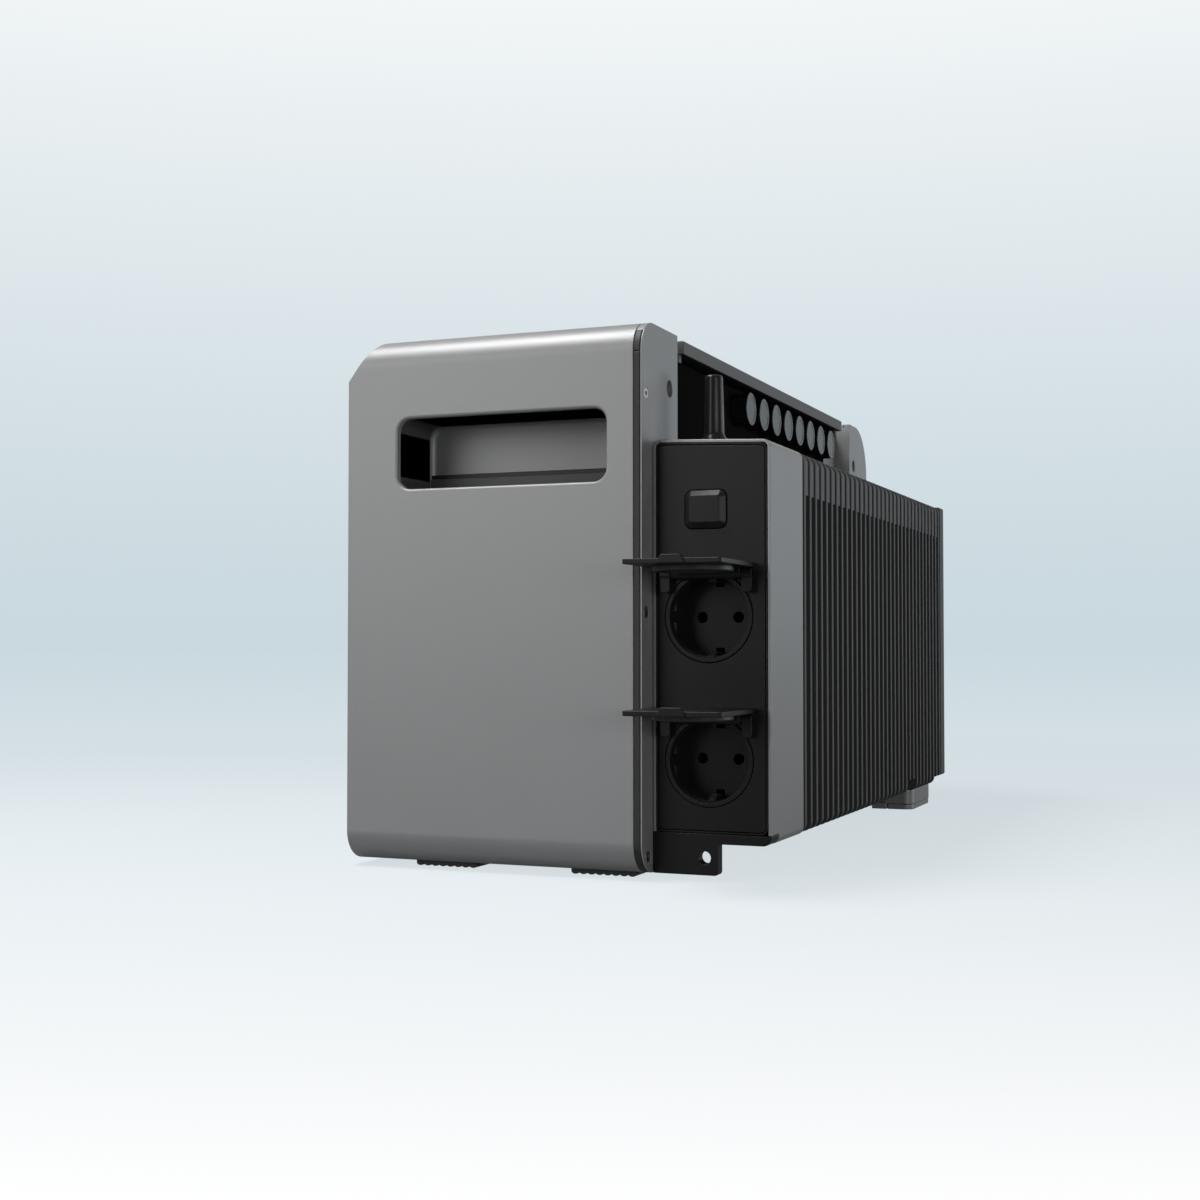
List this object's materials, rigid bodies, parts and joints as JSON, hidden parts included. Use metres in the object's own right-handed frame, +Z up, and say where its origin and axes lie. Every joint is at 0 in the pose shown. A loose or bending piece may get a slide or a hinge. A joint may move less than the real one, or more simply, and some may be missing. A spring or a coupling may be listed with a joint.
{
  "type": "portable power station",
  "caption": "Grey battery case with a handle recess in each end, a side inverter box with hinged-lid mains sockets, a finned heat sink, a row of capped connectors and a stub antenna.",
  "frame": {"origin": "on the surface that it stands on, under the middle of its overall box with both socket lids open", "axes": "+X towards the inverter side, +Y from the socket end to the rear, +Z up"},
  "size_m": [0.2258, 0.5134, 0.2748],
  "materials": {
    "grey_paint": "fine satin grey paint",
    "dark_paint": "satin dark grey paint",
    "black_plastic": "fine matte moulded texture",
    "black_rubber": "matte black",
    "black_anodised": "black anodised",
    "bright_steel": "bright plated",
    "circuit_board": "green solder mask",
    "cell_wrap": "blue film",
    "cable_sheath": "red sheath"
  },
  "bodies": {
    "case": {"antenna": "black_rubber", "antenna_nut": "bright_steel", "battery_cable": "cable_sheath", "battery_cells": "cell_wrap", "battery_housing": "grey_paint", "battery_manager_board": "circuit_board", "button_switch": "black_plastic", "cell_tray": "black_plastic", "connector_block": "black_plastic", "front_edge_seal": "black_rubber", "front_end_cover": "grey_paint", "front_flange_screw_1": "bright_steel", "front_flange_screw_2": "bright_steel", "front_flange_screw_3": "bright_steel", "front_handle_pocket": "grey_paint", "front_left_foot": "black_rubber", "front_mount_bracket": "black_anodised", "front_right_foot": "black_rubber", "front_side_flange": "grey_paint", "heat_sink": "black_anodised", "inverter_board": "circuit_board", "inverter_chassis": "dark_paint", "inverter_front_cap": "grey_paint", "inverter_rear_cap": "black_anodised", "lower_earth_strap": "bright_steel", "lower_hinge_pin": "bright_steel", "lower_socket": "black_plastic", "panel_frame": "black_plastic", "rear_edge_seal": "black_rubber", "rear_end_cover": "grey_paint", "rear_flange_screw_1": "bright_steel", "rear_flange_screw_2": "bright_steel", "rear_flange_screw_3": "bright_steel", "rear_handle_pocket": "grey_paint", "rear_left_foot": "black_rubber", "rear_right_foot": "black_rubber", "rear_side_flange": "grey_paint", "socket_panel": "black_plastic", "support_foot": "grey_paint", "support_foot_pad": "grey_paint", "top_lid": "dark_paint", "transformer": "dark_paint", "upper_earth_strap": "bright_steel", "upper_hinge_pin": "bright_steel", "upper_socket": "black_plastic"},
    "upper_lid": {"upper_socket_lid": "black_plastic", "upper_lid_seal": "black_rubber"},
    "lower_lid": {"lower_socket_lid": "black_plastic", "lower_lid_seal": "black_rubber"},
    "power_button": {"power_button": "black_plastic"},
    "connector_cap_1": {"connector_cap_1": "black_plastic"},
    "connector_cap_2": {"connector_cap_2": "black_plastic"},
    "connector_cap_3": {"connector_cap_3": "black_plastic"},
    "connector_cap_4": {"connector_cap_4": "black_plastic"},
    "connector_cap_5": {"connector_cap_5": "black_plastic"},
    "connector_cap_6": {"connector_cap_6": "black_plastic"},
    "connector_cap_7": {"connector_cap_7": "black_plastic"},
    "connector_cap_8": {"connector_cap_8": "black_plastic"}
  },
  "joints": [
    {"name": "upper_lid_hinge", "type": "hinge", "parent": "case", "child": "upper_lid", "pos_m": [0.0814, -0.20485, 0.1493], "axis": [1, 0, 0], "range_deg": [0, 90]},
    {"name": "lower_lid_hinge", "type": "hinge", "parent": "case", "child": "lower_lid", "pos_m": [0.0814, -0.20485, 0.0791], "axis": [1, 0, 0], "range_deg": [0, 90]},
    {"name": "power_button_push", "type": "slide", "parent": "case", "child": "power_button", "axis": [0, 1, 0], "range_m": [0, 0.002], "stiffness_N_per_m": 600, "springref_m": -0.002},
    {"name": "connector_cap_1_turn", "type": "hinge", "parent": "case", "child": "connector_cap_1", "pos_m": [0.0421, -0.03425, 0.254], "axis": [1, 0, 0], "range_deg": [0, 90]},
    {"name": "connector_cap_2_turn", "type": "hinge", "parent": "case", "child": "connector_cap_2", "pos_m": [0.0421, -0.00765, 0.254], "axis": [1, 0, 0], "range_deg": [0, 90]},
    {"name": "connector_cap_3_turn", "type": "hinge", "parent": "case", "child": "connector_cap_3", "pos_m": [0.0421, 0.01895, 0.254], "axis": [1, 0, 0], "range_deg": [0, 90]},
    {"name": "connector_cap_4_turn", "type": "hinge", "parent": "case", "child": "connector_cap_4", "pos_m": [0.0421, 0.04555, 0.254], "axis": [1, 0, 0], "range_deg": [0, 90]},
    {"name": "connector_cap_5_turn", "type": "hinge", "parent": "case", "child": "connector_cap_5", "pos_m": [0.0421, 0.07215, 0.254], "axis": [1, 0, 0], "range_deg": [0, 90]},
    {"name": "connector_cap_6_turn", "type": "hinge", "parent": "case", "child": "connector_cap_6", "pos_m": [0.0421, 0.09875, 0.254], "axis": [1, 0, 0], "range_deg": [0, 90]},
    {"name": "connector_cap_7_turn", "type": "hinge", "parent": "case", "child": "connector_cap_7", "pos_m": [0.0421, 0.12535, 0.254], "axis": [1, 0, 0], "range_deg": [0, 90]},
    {"name": "connector_cap_8_turn", "type": "hinge", "parent": "case", "child": "connector_cap_8", "pos_m": [0.0421, 0.15195, 0.254], "axis": [1, 0, 0], "range_deg": [0, 90]}
  ]
}
